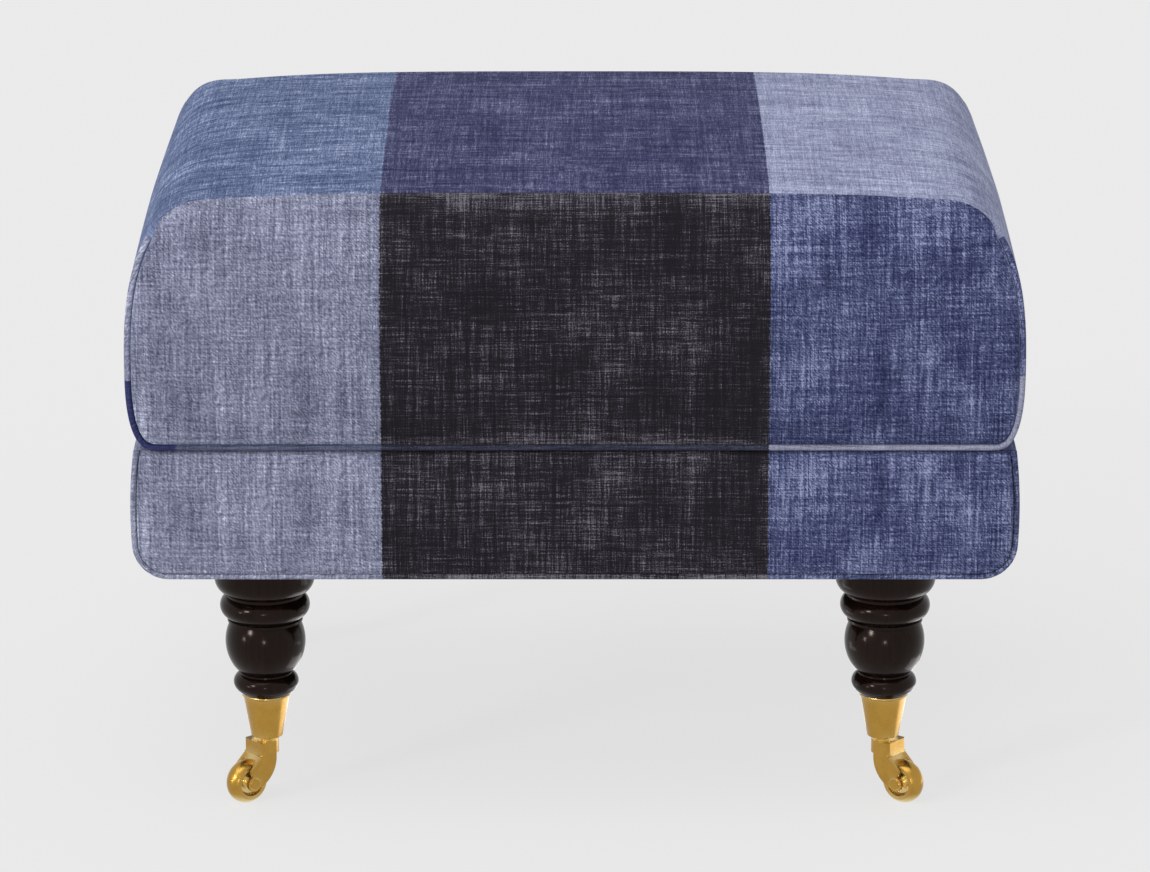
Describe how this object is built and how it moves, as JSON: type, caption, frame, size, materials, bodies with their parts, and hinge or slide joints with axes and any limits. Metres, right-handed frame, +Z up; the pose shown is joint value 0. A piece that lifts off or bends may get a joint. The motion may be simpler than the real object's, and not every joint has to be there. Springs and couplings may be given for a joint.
{
  "type": "footstool",
  "caption": "Rectangular patchwork denim footstool with a loaf-shaped cushion on a covered box base, turned dark wooden legs and brass cup castors.",
  "frame": {"origin": "on the floor under the middle of the footstool", "axes": "+X along the width, to the right as seen from the front; the front faces -Y; +Z up"},
  "size_m": [0.634, 0.4596, 0.464],
  "materials": {
    "denim_light": "washed pale denim, diagonal twill",
    "denim_mid": "mid blue slubby denim",
    "denim_dark": "charcoal denim with grey flecks",
    "denim_navy": "navy piping cord cover",
    "lining": "plain calico",
    "dust_cover": "black non-woven",
    "wadding": "white polyester wadding",
    "foam": "open-cell foam",
    "hessian": "natural jute hessian",
    "webbing": "natural jute webbing",
    "frame_wood": "sawn beech",
    "dark_wood": "espresso stain, semi-gloss lacquer",
    "brass": "satin antique brass",
    "steel": "bright steel"
  },
  "bodies": {
    "stool": {"front_rail": "frame_wood", "back_rail": "frame_wood", "left_rail": "frame_wood", "right_rail": "frame_wood", "centre_rail": "frame_wood", "corner_blocks": "frame_wood", "rail_dowels": "frame_wood", "block_screws": "steel", "webbing_lengthwise": "webbing", "webbing_crosswise": "webbing", "hessian": "hessian", "base_wadding": "wadding", "base_front_panel": "denim_dark", "base_back_panel": "denim_dark", "base_side_left": "denim_light", "base_side_right": "denim_mid", "base_piping_front": "denim_navy", "base_piping_back": "denim_navy", "dust_cover": "dust_cover", "foam_core": "foam", "cushion_wadding": "wadding", "cushion_platform": "lining", "cushion_top_cover": "denim_light", "cushion_front_panel": "denim_dark", "cushion_back_panel": "denim_dark", "cushion_piping_front": "denim_navy", "cushion_piping_back": "denim_navy", "leg_fl": "dark_wood", "leg_fr": "dark_wood", "leg_bl": "dark_wood", "leg_br": "dark_wood", "hanger_bolts": "steel", "tee_nuts": "steel", "cup_fl": "brass", "cup_fr": "brass", "cup_bl": "brass", "cup_br": "brass", "cup_screws": "brass", "swivel_collars": "brass"},
    "castor_front_left": {"fork_fl": "brass", "pintle_fl": "steel", "axle_fl": "brass"},
    "roller_front_left": {"wheel_fl": "brass"},
    "castor_front_right": {"fork_fr": "brass", "pintle_fr": "steel", "axle_fr": "brass"},
    "roller_front_right": {"wheel_fr": "brass"},
    "castor_back_left": {"fork_bl": "brass", "pintle_bl": "steel", "axle_bl": "brass"},
    "roller_back_left": {"wheel_bl": "brass"},
    "castor_back_right": {"fork_br": "brass", "pintle_br": "steel", "axle_br": "brass"},
    "roller_back_right": {"wheel_br": "brass"}
  },
  "joints": [
    {"name": "swivel_front_left", "type": "hinge", "parent": "stool", "child": "castor_front_left", "pos_m": [-0.2225, -0.165, 0.043], "axis": [0, 0, 1], "continuous": true},
    {"name": "roll_front_left", "type": "hinge", "parent": "castor_front_left", "child": "roller_front_left", "pos_m": [-0.23705, -0.17721, 0.016], "axis": [0.6428, -0.766, 0], "continuous": true},
    {"name": "swivel_front_right", "type": "hinge", "parent": "stool", "child": "castor_front_right", "pos_m": [0.2225, -0.165, 0.043], "axis": [0, 0, 1], "continuous": true},
    {"name": "roll_front_right", "type": "hinge", "parent": "castor_front_right", "child": "roller_front_right", "pos_m": [0.23705, -0.17721, 0.016], "axis": [0.6428, 0.766, 0], "continuous": true},
    {"name": "swivel_back_left", "type": "hinge", "parent": "stool", "child": "castor_back_left", "pos_m": [-0.2225, 0.165, 0.043], "axis": [0, 0, 1], "continuous": true},
    {"name": "roll_back_left", "type": "hinge", "parent": "castor_back_left", "child": "roller_back_left", "pos_m": [-0.23705, 0.17721, 0.016], "axis": [-0.6428, -0.766, 0], "continuous": true},
    {"name": "swivel_back_right", "type": "hinge", "parent": "stool", "child": "castor_back_right", "pos_m": [0.2225, 0.165, 0.043], "axis": [0, 0, 1], "continuous": true},
    {"name": "roll_back_right", "type": "hinge", "parent": "castor_back_right", "child": "roller_back_right", "pos_m": [0.23705, 0.17721, 0.016], "axis": [-0.6428, 0.766, 0], "continuous": true}
  ]
}
